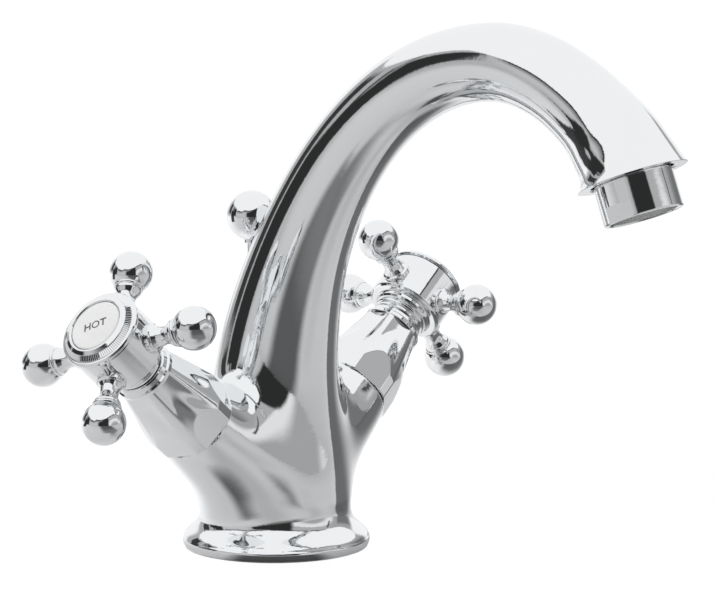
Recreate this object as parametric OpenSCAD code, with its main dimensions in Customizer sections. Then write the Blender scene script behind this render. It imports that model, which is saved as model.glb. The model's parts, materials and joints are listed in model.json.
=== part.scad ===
// Two-handle basin mixer tap: one cast body with a swan-neck spout, two cross handles
// on slanted quarter-turn valves, a lift rod for the waste and the fixing kit below
// the basin ledge. Millimetres. Origin at the middle of the foot, on the ledge.
// The spout points towards -Y, the hot handle is on the -X side.

/* [Foot] */
// Radius of the foot's rim
foot_r = 27.6; // [26.6:0.1:28.6]
// Height of the middle of the bulging rim
rim_z = 2.1; // [1.8:0.05:2.4]
// Radius of the rim's bulge, seen in section
rim_bulge_r = 3.5; // [3:0.1:4]
// Radius of the waist above the foot
waist_r = 22; // [21.5:0.1:23]
// Height of the waist
waist_z = 12.3; // [11.5:0.1:13]

/* [Column and spout] */
// Height where the straight column ends
column_z = 48.4; // [46:0.1:52]
// Radius at the top of the straight column
column_r = 18.6; // [18:0.1:19.5]
// Forward lean where the spout starts, in degrees
spout_lean = 5; // [2:0.5:8]
// Height of the spout's centre line at its highest point
spout_top_z = 145.4; // [140:0.1:155]
// Distance of that point in front of the column
spout_top_y = 81; // [76:0.5:86]
// Radius of the spout at its highest point
spout_r = 10.9; // [10.5:0.1:11.5]
// Distance of the outlet in front of the column
spout_reach = 126; // [120:0.5:135]
// Height of the outlet's rim
outlet_z = 116; // [112:0.5:120]
// Forward tilt of the outlet from vertical, in degrees
outlet_tilt = 20.5; // [15:0.5:26]
// Radius of the bell-shaped outlet rim
outlet_r = 15.2; // [14.5:0.1:16.5]
// Radius of the water passage in the spout
waterway_r = 6; // [5:0.1:6.5]

/* [Valve arms] */
// Height where both valve axes cross the middle
valve_z = 13.7; // [13:0.1:15]
// Distance of the valve axes behind the middle
valve_y = 1; // [0:0.1:1.5]
// Rise of the valve axes from horizontal, in degrees
valve_rise = 38.7; // [37:0.1:40]
// Distance of the arm's end face along the axis
arm_end = 44.7; // [44:0.1:47]
// Radius of the arm at its end
arm_r = 12.35; // [12.2:0.05:12.6]
// Depth of the threaded valve bore
valve_bore_depth = 17.2; // [16.5:0.1:18]
// Radius of the valve thread
valve_thread_r = 10.4; // [10.2:0.05:10.5]

/* [Bonnets] */
// Length of the bonnet along the axis
bonnet_len = 28.8; // [28:0.1:30]
// Width of its hexagon across the flats
bonnet_flats = 24.2; // [24:0.1:24.8]
// Radius over the hexagon's cut corners
bonnet_corner_r = 13.1; // [12.9:0.05:13.4]
// Radius of the round top
bonnet_top_r = 7.95; // [7.8:0.05:8.2]
// Turn of the hot bonnet on its thread, in degrees
hot_bonnet_turn = 12.7; // [0:0.1:60]
// Turn of the cold bonnet on its thread, in degrees
cold_bonnet_turn = 58.7; // [0:0.1:60]

/* [Handles] */
// Radius of the handle's barrel
barrel_r = 11.65; // [11.4:0.05:12]
// Length of the barrel
barrel_len = 13.2; // [13:0.1:14.5]
// Length of the stepped neck below the barrel
neck_len = 4.9; // [4.5:0.1:5.5]
// Distance of the ball centres from the valve axis
ball_circle_r = 25.3; // [24.8:0.1:27]
// Radius of the balls on the arms
ball_r = 6.2; // [5.8:0.1:6.6]
// Radius of the thin part of each arm
cross_waist_r = 2.4; // [2.2:0.05:2.8]
// Turn of the hot cross at rest, in degrees
hot_cross_turn = 20.2; // [0:0.1:90]
// Turn of the cold cross at rest, in degrees
cold_cross_turn = 88.8; // [0:0.1:90]
// Largest radius of the knurled cap
cap_r = 12.1; // [12:0.05:12.6]
// Radius of the index disc
index_r = 7.85; // [7.5:0.05:8.2]
// Grooves round the cap's knurled band
knurl_count = 72; // [48:4:96]

/* [Valve cartridges] */
// Radius of the spindle
spindle_r = 4.6; // [4.4:0.05:4.8]
// Radius of the ceramic discs
disc_r = 7.7; // [7.5:0.05:7.8]
// Thickness of each ceramic disc
disc_h = 3.2; // [3:0.1:3.4]
// Radius of the water ports in the discs
port_r = 2.1; // [1.8:0.1:2.3]

/* [Outlet aerator] */
// Outer radius of the aerator housing
aerator_r = 11; // [10.8:0.1:11.2]
// Length of the housing below the outlet's rim
aerator_drop = 10.8; // [9:0.1:12]
// Depth of its thread in the outlet
aerator_thread = 7; // [6:0.1:8]

/* [Lift rod] */
// Distance of the rod behind the middle
rod_y = 9; // [9:0.1:9.6]
// Radius of the rod
rod_r = 1.5; // [1.4:0.05:1.6]
// Radius of the ball knob
knob_r = 7.4; // [7:0.1:7.5]
// Height of the knob's centre at its lowest place
knob_z = 97; // [96.5:0.1:102]
// Length of the rod below the ledge
rod_tail = 58; // [50:1:70]

/* [Fixing kit below the ledge] */
// Radius of the threaded fixing stud
stud_r = 4; // [3.9:0.05:4.1]
// Distance of the stud in front of the middle
stud_y = 9; // [8.5:0.1:9.5]
// Length of the stud below the ledge
stud_tail = 48; // [46:1:60]
// Thickness of the ledge that the kit is drawn up on
ledge_h = 22; // [15:0.5:24]
// Outer radius of the horseshoe washers
horseshoe_r = 22; // [20:0.5:24]
// Radius of the inlet threads
inlet_r = 5; // [4.8:0.1:5]
// Distance of each inlet from the middle plane
inlet_x = 7.6; // [7.4:0.1:8]

/* [Hidden] */
$fn = 72;

chrome = "silver";
brass = "goldenrod";
rubber = "dimgray";
ceramic = "white";

hot = -1;
cold = 1;
eps = 0.01;
running_gap = 0.05;
seat_gap = 0.3;

// Foot
// Radius of the hollow sweep that touches the rim's bulge and ends upright at the waist
rim_mid_r = foot_r - rim_bulge_r;
sweep_r = (pow(waist_r - rim_mid_r, 2) + pow(waist_z - rim_z, 2) - pow(rim_bulge_r, 2))
          / (2 * (rim_bulge_r - waist_r + rim_mid_r));
gasket_h = 2.4;
gasket_out_r = foot_r - 3;
gasket_in_r = gasket_out_r - 5.5;
foot_recess_r = gasket_in_r - 1.6;
foot_recess_h = 2;

// Spout path, seen from the side: y forward is negative
rise_start_pull = 45;
rise_end_pull = 46.5;
drop_start_pull = 20;
drop_end_pull = 12;
rise_r_pull = 12.4;
spout_sides = 36;
column_rings = 5;
rise_rings = 15;
drop_rings = 13;
rear_flat = 0.09;

function bezier(a, b, c, d, t) =
    pow(1 - t, 3) * a + 3 * pow(1 - t, 2) * t * b + 3 * (1 - t) * t * t * c + pow(t, 3) * d;

function bezier_slope(a, b, c, d, t) =
    3 * (1 - t) * (1 - t) * (b - a) + 6 * (1 - t) * t * (c - b) + 3 * t * t * (d - c);

column_foot = [0, 2 * rim_z + 2];
column_head = [0, column_z];
rise_a = column_head + rise_start_pull * [-sin(spout_lean), cos(spout_lean)];
top_point = [-spout_top_y, spout_top_z];
rise_b = top_point + [rise_end_pull, 0];
drop_a = top_point - [drop_start_pull, 0];
outlet_point = [-spout_reach, outlet_z];
outlet_dir = [-sin(outlet_tilt), -cos(outlet_tilt)];
drop_b = outlet_point - drop_end_pull * outlet_dir;

// Each station is [centre, direction, radius, share of rear flattening]
column_stations = [
    for (i = [0 : column_rings - 1])
        let (t = i / column_rings)
        [column_foot + t * (column_head - column_foot), [0, 1],
         bezier(waist_r, waist_r - 2.4, column_r + 0.4, column_r, t), 0]
];
rise_stations = [
    for (i = [0 : rise_rings - 1])
        let (t = i / rise_rings)
        [bezier(column_head, rise_a, rise_b, top_point, t),
         bezier_slope(column_head, rise_a, rise_b, top_point, t),
         bezier(column_r, rise_r_pull, spout_r, spout_r, t), rear_flat * sin(180 * t)]
];
drop_stations = [
    for (i = [0 : drop_rings])
        let (t = i / drop_rings)
        [bezier(top_point, drop_a, drop_b, outlet_point, t),
         bezier_slope(top_point, drop_a, drop_b, outlet_point, t),
         spout_r + (outlet_r - spout_r) * pow(t, 3), 0]
];
stations = concat(column_stations, rise_stations, drop_stations);

// Ring of points round one station, radius r, flattened a little behind
function ring(s, r, sides) =
    let (d = s[1] / norm(s[1]))
    [for (k = [0 : sides - 1])
        let (a = 360 * k / sides, q = r * (1 - s[3] * pow(max(0, sin(a)), 6)))
        [q * cos(a), s[0][0] + q * sin(a) * d[1], s[0][1] - q * sin(a) * d[0]]];

// Closed skin over equal rings of points
module skin(rings) {
    m = len(rings[0]);
    n = len(rings);
    points = [for (r = rings) for (p = r) p];
    sides = [for (i = [0 : n - 2]) for (k = [0 : m - 1])
        [i * m + k, (i + 1) * m + k, (i + 1) * m + (k + 1) % m, i * m + (k + 1) % m]];
    start = [[for (k = [0 : m - 1]) k]];
    end = [[for (k = [m - 1 : -1 : 0]) (n - 1) * m + k]];
    polyhedron(points, concat(start, sides, end));
}

// Valve frame: z runs outwards along the valve axis of one side
module at_valve(side) {
    translate([0, valve_y, valve_z])
        rotate([0, side * (90 - valve_rise), 0])
            children();
}

function valve_point(side, s) =
    [side * s * cos(valve_rise), valve_y, valve_z + s * sin(valve_rise)];

// Outlet frame: z runs along the spout's axis out of the rim
module at_outlet() {
    translate([0, outlet_point[0], outlet_point[1]])
        rotate([180 - outlet_tilt, 0, 0])
            children();
}

// Round bar between two points
module bar(a, b, r) {
    d = b - a;
    translate(a)
        rotate([0, acos(d[2] / norm(d)), atan2(d[1], d[0])])
            cylinder(r = r, h = norm(d));
}

// Stations along a valve axis, from the inside out
bore_floor = arm_end - valve_bore_depth;
seal_h = 2.5;
seal_in_r = 5.6;
cavity_r = disc_r + 0.3;
fixed_disc_s = bore_floor + seal_h;
moving_disc_s = fixed_disc_s + disc_h + running_gap;
spindle_foot_s = moving_disc_s + disc_h;
spindle_foot_h = 2.3;
cavity_top_s = spindle_foot_s + spindle_foot_h + 0.2;
hex_h = 5.4;
hex_flats = 17;
sleeve_r = 6.5;
bonnet_top_s = arm_end + bonnet_len;
packing_room = 7.5;
sleeve_top_s = bonnet_top_s - packing_room;
neck_s = bonnet_top_s + seat_gap;
barrel_s = neck_s + neck_len;
barrel_top_s = barrel_s + barrel_len;
cross_s = barrel_s + 5.3;
socket_top_s = barrel_s + 6.5;
socket_web = 1.4;
screw_head_h = 2.2;
screw_head_r = 3.6;
screw_r = 2;
well_s = socket_top_s + socket_web;
well_r = 9.6;

// Waterways inside the casting
seat_s = bore_floor - 3;
seat_r = 7.2;
inlet_y = 5;
inlet_depth = 11;
inlet_bore_r = inlet_r - 0.5;
feed_r = 3.2;
mixing_z = 46;
mixing_rise = 8.5;
mixing_s = bore_floor + mixing_rise;
waterway_floor = mixing_z - feed_r;
stud_depth = 12;
bush_r = 3.2;
bush_h = 7;
rod_hole_r = rod_r + 0.3;
aerator_bore_r = aerator_r + seat_gap;
throat_r = aerator_r - 2.4;
throat_depth = 4;

// Foot in section: bulging rim that runs into the hollow sweep
module foot_profile() {
    sweep_mid = [waist_r + sweep_r, waist_z];
    rim_mid = [rim_mid_r, rim_z];
    meet = rim_mid + (sweep_mid - rim_mid) * rim_bulge_r / (rim_bulge_r + sweep_r);
    intersection() {
        translate(rim_mid)
            circle(r = rim_bulge_r);
        square([foot_r, meet[1]]);
    }
    square([rim_mid_r, meet[1]]);
    difference() {
        square([meet[0], waist_z]);
        translate(sweep_mid)
            circle(r = sweep_r);
        translate([rim_mid_r, 0])
            square([rim_bulge_r, meet[1] - eps]);
    }
}

// Arm that flares into the column, as a revolve along the valve axis
arm_root_s = 13;
arm_root_r = 18;
arm_steps = 10;
module arm_solid(side) {
    flare = [for (i = [0 : arm_steps])
        let (t = i / arm_steps)
        [bezier(arm_root_r, arm_r + 1.25, arm_r + 0.95, arm_r + 0.15, t),
         arm_root_s + t * (arm_end - 0.8 - arm_root_s)]];
    at_valve(side)
        rotate_extrude()
            polygon(concat([[0, arm_root_s]], flare, [[arm_r - 0.5, arm_end], [0, arm_end]]));
}

module waterways() {
    passage = [for (s = stations) if (s[0][1] > waterway_floor) s];
    skin(concat([ring([[0, waterway_floor], [0, 1], 0, 0], waterway_r, 16)],
                [for (s = passage) ring(s, waterway_r, 16)]));
    for (side = [hot, cold]) {
        at_valve(side) {
            translate([0, 0, bore_floor])
                cylinder(r = valve_thread_r + running_gap, h = valve_bore_depth + 1);
            translate([0, 0, seat_s])
                cylinder(r = seat_r, h = valve_bore_depth);
        }
        bar(valve_point(side, mixing_s), [0, 0, mixing_z], feed_r);
        translate([side * inlet_x, inlet_y, -eps])
            cylinder(r = inlet_bore_r, h = inlet_depth + eps);
        bar([side * inlet_x, inlet_y, inlet_depth - 1], valve_point(side, seat_s + 1), feed_r);
    }
}

module body_casting() {
    color(chrome)
    difference() {
        union() {
            skin([for (s = stations) ring(s, s[2], spout_sides)]);
            rotate_extrude()
                foot_profile();
            arm_solid(hot);
            arm_solid(cold);
        }
        waterways();
        at_outlet() {
            translate([0, 0, -aerator_thread - 1])
                cylinder(r = aerator_r - 0.2 + running_gap, h = aerator_thread + 2);
            translate([0, 0, -aerator_thread - throat_depth])
                cylinder(r = throat_r, h = throat_depth + 1);
        }
        difference() {
            translate([0, 0, -1])
                cylinder(r = gasket_out_r, h = 1 + gasket_h);
            translate([0, 0, -2])
                cylinder(r = gasket_in_r, h = 3 + gasket_h);
        }
        translate([0, 0, -1])
            cylinder(r = foot_recess_r, h = 1 + foot_recess_h);
        translate([0, -stud_y, -1])
            cylinder(r = stud_r, h = 1 + stud_depth);
        translate([0, rod_y, -1])
            cylinder(r = rod_hole_r, h = knob_z);
        translate([0, rod_y, -1])
            cylinder(r = bush_r, h = 1 + foot_recess_h + bush_h);
    }
}

module base_gasket() {
    color(rubber)
    difference() {
        cylinder(r = gasket_out_r, h = gasket_h);
        translate([0, 0, -1])
            cylinder(r = gasket_in_r, h = gasket_h + 2);
    }
}

// Bonnet: hexagon with cut corners below, six long facets on a cone above
facet_half_angle = 23;
facet_tilt = 11.5;
facet_foot_tilt = 36;
corner_s = arm_end + 4.8;
facet_foot_s = arm_end + 9.7;
facet_top_s = bonnet_top_s - 3.4;
facet_top_r = bonnet_top_r + 0.95;
facet_inner_r = facet_top_r * cos(facet_half_angle);
flat_r = bonnet_flats / 2;
cone_low_r = bonnet_corner_r + 0.35;
// Height where the long facet meets its steep foot
facet_bend_s = (flat_r + tan(facet_foot_tilt) * facet_foot_s
                - facet_inner_r - tan(facet_tilt) * facet_top_s)
               / (tan(facet_foot_tilt) - tan(facet_tilt));
facet_bend_r = facet_inner_r + tan(facet_tilt) * (facet_top_s - facet_bend_s);
facet_out_r = cone_low_r + 2;

// Cutter for one long facet and its steep foot
module facet_cut() {
    rotate([90, 0, 0])
        linear_extrude(height = 2 * facet_out_r, center = true)
            polygon([[facet_inner_r, facet_top_s], [facet_bend_r, facet_bend_s],
                     [flat_r, facet_foot_s], [facet_out_r, facet_foot_s],
                     [facet_out_r, facet_top_s]]);
}

module bonnet_outline() {
    corner = flat_r / cos(30);
    intersection() {
        circle(r = corner, $fn = 6);
        rotate(30)
            circle(r = bonnet_corner_r / cos(30), $fn = 6);
    }
}

module bonnet(side, turn) {
    lip = 0.5;
    inside_low_r = 10.1;
    inside_r = sleeve_r + running_gap;
    color(chrome)
    at_valve(side)
    rotate(turn)
    difference() {
        intersection() {
            rotate_extrude()
                polygon([[0, arm_end], [cone_low_r - 0.6, arm_end], [cone_low_r, arm_end + 0.6],
                         [cone_low_r, corner_s], [facet_top_r, facet_top_s],
                         [facet_top_r - 0.1, facet_top_s + 0.5], [bonnet_top_r, bonnet_top_s - lip],
                         [bonnet_top_r - lip, bonnet_top_s], [0, bonnet_top_s]]);
            rotate(30)
                translate([0, 0, arm_end - 1])
                    linear_extrude(height = bonnet_len + 2)
                        bonnet_outline();
        }
        for (k = [0 : 5])
            rotate(60 * k)
                facet_cut();
        translate([0, 0, arm_end - 1])
            cylinder(r = inside_low_r, h = 1 + hex_h + 1.6);
        translate([0, 0, arm_end])
            cylinder(r = inside_r, h = sleeve_top_s - arm_end + 0.5);
        translate([0, 0, arm_end])
            cylinder(r = spindle_r + 0.6, h = bonnet_len + 1);
    }
}

module cartridge(side) {
    color(brass)
    at_valve(side)
    difference() {
        union() {
            translate([0, 0, bore_floor])
                cylinder(r = valve_thread_r, h = valve_bore_depth);
            translate([0, 0, arm_end])
                cylinder(r = hex_flats / 2 / cos(30), h = hex_h, $fn = 6);
            translate([0, 0, arm_end])
                cylinder(r = sleeve_r, h = sleeve_top_s - arm_end);
        }
        translate([0, 0, bore_floor - 1])
            cylinder(r = cavity_r, h = cavity_top_s - bore_floor + 1);
        translate([0, 0, bore_floor])
            cylinder(r = spindle_r + running_gap, h = sleeve_top_s);
        for (a = [0, 180])
            rotate([0, 0, a])
                translate([0, 0, mixing_s])
                    rotate([0, 90, 0])
                        cylinder(r = feed_r, h = valve_thread_r + 2);
    }
}

module seat_seal(side) {
    color(rubber)
    at_valve(side)
    translate([0, 0, bore_floor])
    difference() {
        cylinder(r = cavity_r, h = seal_h);
        translate([0, 0, -1])
            cylinder(r = seal_in_r, h = seal_h + 2);
    }
}

// Ceramic disc with two ports on opposite sides
module ceramic_disc(side, s, port_turn) {
    color(ceramic)
    at_valve(side)
    translate([0, 0, s])
    rotate(port_turn)
    difference() {
        cylinder(r = disc_r, h = disc_h);
        for (a = [0, 180])
            rotate(a)
                translate([disc_r / 2, 0, -1])
                    cylinder(r = port_r, h = disc_h + 2);
    }
}

tang_w = 2.6;
tang_h = 1.4;
module moving_disc(side) {
    difference() {
        ceramic_disc(side, moving_disc_s, 90);
        at_valve(side)
            translate([-tang_w / 2, -disc_r - 1, spindle_foot_s - tang_h])
                cube([tang_w, 2 * disc_r + 2, tang_h + 1]);
    }
}

o_ring_r = 0.8;
o_ring_depth = 9;
o_ring_s = sleeve_top_s - o_ring_depth;
o_ring_path_r = spindle_r - o_ring_r - 0.1;
module spindle(side) {
    spline_len = socket_top_s - neck_s - 1;
    color(brass)
    at_valve(side)
    difference() {
        union() {
            translate([0, 0, spindle_foot_s])
                cylinder(r = disc_r - 1.2, h = spindle_foot_h);
            translate([-tang_w / 2 + 0.1, -disc_r + 1.6, spindle_foot_s - tang_h])
                cube([tang_w - 0.2, 2 * disc_r - 3.2, tang_h + 1]);
            translate([0, 0, spindle_foot_s])
                cylinder(r = spindle_r, h = socket_top_s - spindle_foot_s);
        }
        translate([0, 0, o_ring_s - o_ring_r - 0.1])
            difference() {
                cylinder(r = spindle_r + 1, h = 2 * o_ring_r + 0.2);
                cylinder(r = o_ring_path_r - o_ring_r, h = 2 * o_ring_r + 0.2);
            }
        translate([0, 0, socket_top_s - spline_len])
            cylinder(r = screw_r, h = spline_len + 1);
    }
}

module spindle_o_ring(side) {
    color(rubber)
    at_valve(side)
    translate([0, 0, o_ring_s])
        rotate_extrude()
            translate([o_ring_path_r, 0])
                circle(r = o_ring_r, $fn = 24);
}

// One arm of the cross, as a revolve along its own axis from the barrel to the ball
collar_r = 4.2;
collar_edge = 0.4;
collar_len = 1;
arm_tip_r = 3.9;
ring_bead_r = 0.55;
ring_rise = 0.3;
ring_inset = 1.05;
waist_at = 16;
trumpet_steps = 7;
tail_steps = 6;
module cross_arm() {
    collar_at = barrel_r + collar_len;
    shoulder_r = collar_r - collar_edge;
    ring_at = ball_circle_r - ball_r + ring_inset;
    tip_at = ring_at - ring_bead_r;
    trumpet = [for (i = [0 : trumpet_steps])
        let (a = 90 * i / trumpet_steps)
        [shoulder_r - (shoulder_r - cross_waist_r) * sin(a),
         collar_at + (waist_at - collar_at) * (1 - cos(a))]];
    tail = [for (i = [1 : tail_steps])
        let (t = i / tail_steps)
        [cross_waist_r + (arm_tip_r - cross_waist_r) * (1 - cos(180 * t)) / 2,
         waist_at + (tip_at - waist_at) * t]];
    rotate([0, 90, 0])
        rotate_extrude($fn = 48) {
            polygon(concat([[0, well_r - 4], [collar_r, well_r - 4], [collar_r, collar_at - collar_edge]],
                           trumpet, tail, [[arm_tip_r - ring_bead_r, ring_at], [0, ring_at + 1]]));
            translate([arm_tip_r + ring_rise - ring_bead_r, ring_at])
                circle(r = ring_bead_r, $fn = 20);
            intersection() {
                translate([0, ball_circle_r])
                    circle(r = ball_r, $fn = 48);
                translate([0, ball_circle_r - 2 * ball_r])
                    square([2 * ball_r, 4 * ball_r]);
            }
        }
}

module handle(side, turn) {
    edge = 0.6;
    neck_steps = [[0, neck_s], [bonnet_top_r - 0.5, neck_s], [bonnet_top_r - 0.1, neck_s + 0.4],
                  [bonnet_top_r - 0.1, neck_s + 1], [bonnet_top_r - 0.6, neck_s + 1.2],
                  [bonnet_top_r + 0.3, neck_s + 1.5], [bonnet_top_r + 0.4, neck_s + 2.3],
                  [bonnet_top_r - 0.1, neck_s + 2.6], [bonnet_top_r + 1, neck_s + 3.1],
                  [bonnet_top_r + 1.3, barrel_s - 0.4], [barrel_r - edge, barrel_s],
                  [barrel_r, barrel_s + edge], [barrel_r, barrel_top_s], [0, barrel_top_s]];
    color(chrome)
    at_valve(side)
    rotate(turn)
    difference() {
        union() {
            rotate_extrude()
                polygon(neck_steps);
            translate([0, 0, cross_s])
                for (k = [0 : 3])
                    rotate(90 * k)
                        cross_arm();
        }
        translate([0, 0, neck_s - 1])
            cylinder(r = spindle_r, h = socket_top_s - neck_s + 1);
        translate([0, 0, neck_s])
            cylinder(r = screw_r + 0.3, h = barrel_len + neck_len);
        translate([0, 0, well_s])
            cylinder(r = well_r, h = barrel_len);
    }
}

module handle_screw(side) {
    color(brass)
    at_valve(side)
    difference() {
        union() {
            translate([0, 0, neck_s + 2])
                cylinder(r = screw_r, h = well_s - neck_s - 2);
            translate([0, 0, well_s])
                cylinder(r = screw_head_r, h = screw_head_h);
        }
        translate([-0.5, -screw_head_r - 1, well_s + screw_head_h - 1])
            cube([1, 2 * screw_head_r + 2, 2]);
    }
}

// Knurled cap that screws into the barrel and holds the index disc
cap_skirt = 2.6;
cap_band_h = 1.7;
knurl_h = 1.1;
cap_dome_h = 0.8;
index_h = 1.6;
index_seat_s = barrel_top_s + cap_band_h + knurl_h + cap_dome_h - index_h - 0.1;
cap_top_s = index_seat_s + index_h + 0.1;
module cap(side, turn) {
    knurl_s = barrel_top_s + cap_band_h;
    knurl_low_r = cap_r - 0.9;
    knurl_high_r = cap_r - 2.2;
    color(chrome)
    at_valve(side)
    rotate(turn)
    difference() {
        union() {
            rotate_extrude()
                polygon([[0, barrel_top_s], [cap_r - 0.4, barrel_top_s],
                         [cap_r, barrel_top_s + 0.5], [cap_r, barrel_top_s + 1],
                         [knurl_low_r, knurl_s], [knurl_high_r, knurl_s + knurl_h],
                         [index_r + 0.5, cap_top_s], [0, cap_top_s]]);
            translate([0, 0, barrel_top_s - cap_skirt])
                cylinder(r = well_r, h = cap_skirt + 1);
        }
        translate([0, 0, index_seat_s])
            cylinder(r = index_r + running_gap, h = 5);
        translate([0, 0, barrel_top_s - cap_skirt - 1])
            cylinder(r = well_r - 1.6, h = cap_skirt + 2);
        for (k = [0 : knurl_count - 1])
            rotate(360 * k / knurl_count)
                translate([(knurl_low_r + knurl_high_r) / 2 + 0.35, 0, knurl_s + knurl_h / 2])
                    rotate([0, -50, 0])
                        rotate(45)
                            cube([0.4, 0.4, 2.2], center = true);
    }
}

module index_disc(side) {
    color(ceramic)
    at_valve(side)
    translate([0, 0, index_seat_s])
        cylinder(r = index_r, h = index_h);
}

aerator_wall = 1.5;
insert_r = aerator_r - aerator_wall;
insert_h = 8;
insert_s = aerator_drop - 2 - insert_h;
module aerator_housing() {
    flat_depth = 0.8;
    flat_h = 4.4;
    color(chrome)
    at_outlet()
    difference() {
        union() {
            translate([0, 0, -aerator_thread + 1.4])
                cylinder(r = aerator_r - 0.2, h = aerator_thread - 1.4 + 1);
            cylinder(r = aerator_r, h = aerator_drop);
        }
        translate([0, 0, -aerator_thread])
            cylinder(r = insert_r - 1.2, h = aerator_thread + aerator_drop + 1);
        translate([0, 0, insert_s])
            cylinder(r = insert_r, h = aerator_drop);
        for (a = [90, 270])
            rotate(a)
                translate([-aerator_r, aerator_r - flat_depth, aerator_drop - flat_h])
                    cube([2 * aerator_r, 3, 5]);
    }
}

module aerator_insert() {
    holes = 8;
    color("gainsboro")
    at_outlet()
    translate([0, 0, insert_s])
    difference() {
        cylinder(r = insert_r - running_gap, h = insert_h);
        translate([0, 0, insert_h - 1.6])
            cylinder(r = insert_r - 1.2, h = 3);
        for (k = [0 : holes - 1])
            rotate(360 * k / holes)
                translate([insert_r / 2, 0, -1])
                    cylinder(r = 1.4, h = insert_h + 2);
        translate([0, 0, -1])
            cylinder(r = 1.8, h = insert_h + 2);
    }
}

module aerator_washer() {
    color(rubber)
    at_outlet()
    translate([0, 0, -aerator_thread - 1])
    difference() {
        cylinder(r = aerator_r - 0.4, h = 2.4);
        translate([0, 0, -1])
            cylinder(r = throat_r - 0.6, h = 5);
    }
}

knob_neck_h = 2.6;
knob_bore = 5;
module lift_knob() {
    neck_r = rod_r + 1;
    color(chrome)
    translate([0, rod_y, knob_z])
    difference() {
        union() {
            sphere(r = knob_r);
            translate([0, 0, -knob_r - 0.6])
                cylinder(r = neck_r, h = knob_neck_h);
        }
        translate([0, 0, -knob_r - 2])
            cylinder(r = rod_r, h = 2 + knob_bore);
    }
}

module lift_rod() {
    rod_top = knob_z - knob_r + knob_bore;
    color(chrome)
    translate([0, rod_y, -rod_tail])
        cylinder(r = rod_r, h = rod_top + rod_tail);
}

module rod_bush() {
    color("whitesmoke")
    translate([0, rod_y, foot_recess_h])
    difference() {
        cylinder(r = bush_r, h = bush_h);
        translate([0, 0, -1])
            cylinder(r = rod_r + running_gap, h = bush_h + 2);
    }
}

rubber_h = 3;
steel_h = 2;
nut_h = 12;
module horseshoe(h) {
    slot_w = 26;
    slot_y = -3;
    difference() {
        cylinder(r = horseshoe_r, h = h);
        translate([0, -stud_y, -1])
            cylinder(r = stud_r + 0.25, h = h + 2);
        translate([-slot_w / 2, slot_y, -1])
            cube([slot_w, 2 * horseshoe_r, h + 2]);
    }
}

module fixing_stud() {
    color("lightgray")
    translate([0, -stud_y, -stud_tail])
        cylinder(r = stud_r, h = stud_tail + stud_depth);
}

module rubber_horseshoe() {
    color(rubber)
    translate([0, 0, -ledge_h - rubber_h])
        horseshoe(rubber_h);
}

module steel_horseshoe() {
    color("lightgray")
    translate([0, 0, -ledge_h - rubber_h - steel_h])
        horseshoe(steel_h);
}

module fixing_nut() {
    nut_flats = 13;
    color(brass)
    translate([0, -stud_y, -ledge_h - rubber_h - steel_h - nut_h])
    difference() {
        cylinder(r = nut_flats / 2 / cos(30), h = nut_h, $fn = 6);
        translate([0, 0, -1])
            cylinder(r = stud_r, h = nut_h + 2);
    }
}

body_casting();
base_gasket();
bonnet(hot, hot_bonnet_turn);  // hot_bonnet
bonnet(cold, cold_bonnet_turn);  // cold_bonnet
cartridge(hot);  // hot_cartridge
cartridge(cold);  // cold_cartridge
seat_seal(hot);  // hot_seat_seal
seat_seal(cold);  // cold_seat_seal
ceramic_disc(hot, fixed_disc_s, 0);  // hot_fixed_disc
ceramic_disc(cold, fixed_disc_s, 0);  // cold_fixed_disc
moving_disc(hot);  // hot_moving_disc
moving_disc(cold);  // cold_moving_disc
spindle(hot);  // hot_spindle
spindle(cold);  // cold_spindle
spindle_o_ring(hot);  // hot_spindle_o_ring
spindle_o_ring(cold);  // cold_spindle_o_ring
handle(hot, hot_cross_turn);  // hot_handle
handle(cold, cold_cross_turn);  // cold_handle
handle_screw(hot);  // hot_handle_screw
handle_screw(cold);  // cold_handle_screw
cap(hot, hot_cross_turn);  // hot_cap
cap(cold, cold_cross_turn);  // cold_cap
index_disc(hot);  // hot_index_disc
index_disc(cold);  // cold_index_disc
aerator_housing();
aerator_insert();
aerator_washer();
lift_knob();
lift_rod();
rod_bush();
fixing_stud();
rubber_horseshoe();
steel_horseshoe();
fixing_nut();
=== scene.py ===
"""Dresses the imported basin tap: cast body, bonnets, cross handles, outlet, lift rod and fixings."""
import json
import math

import bmesh
import bpy
import numpy as np
from bpy.props import FloatProperty, FloatVectorProperty, IntProperty, PointerProperty
from mathutils import Matrix, Vector


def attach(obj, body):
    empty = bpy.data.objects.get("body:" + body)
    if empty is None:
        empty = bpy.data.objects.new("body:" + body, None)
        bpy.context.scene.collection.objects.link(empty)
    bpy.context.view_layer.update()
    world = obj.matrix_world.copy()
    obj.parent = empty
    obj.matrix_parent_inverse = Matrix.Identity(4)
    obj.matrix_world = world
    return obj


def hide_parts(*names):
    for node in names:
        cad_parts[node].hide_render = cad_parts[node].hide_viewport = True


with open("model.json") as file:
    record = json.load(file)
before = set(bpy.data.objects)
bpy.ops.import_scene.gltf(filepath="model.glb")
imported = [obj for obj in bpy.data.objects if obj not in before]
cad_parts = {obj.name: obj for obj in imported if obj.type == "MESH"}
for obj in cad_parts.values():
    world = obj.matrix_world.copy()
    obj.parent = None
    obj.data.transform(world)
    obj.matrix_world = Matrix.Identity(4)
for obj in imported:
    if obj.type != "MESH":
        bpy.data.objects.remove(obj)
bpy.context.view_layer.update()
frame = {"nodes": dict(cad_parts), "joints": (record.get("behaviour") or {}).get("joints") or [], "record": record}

bl_info = {
    "name": "Basin Tap",
    "version": (1, 0, 0),
    "blender": (4, 5, 0),
    "location": "View3D > Sidebar > Basin Tap",
    "description": "Makes the polished pieces of a basin tap round its packed frame",
    "category": "Object",
}

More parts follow.
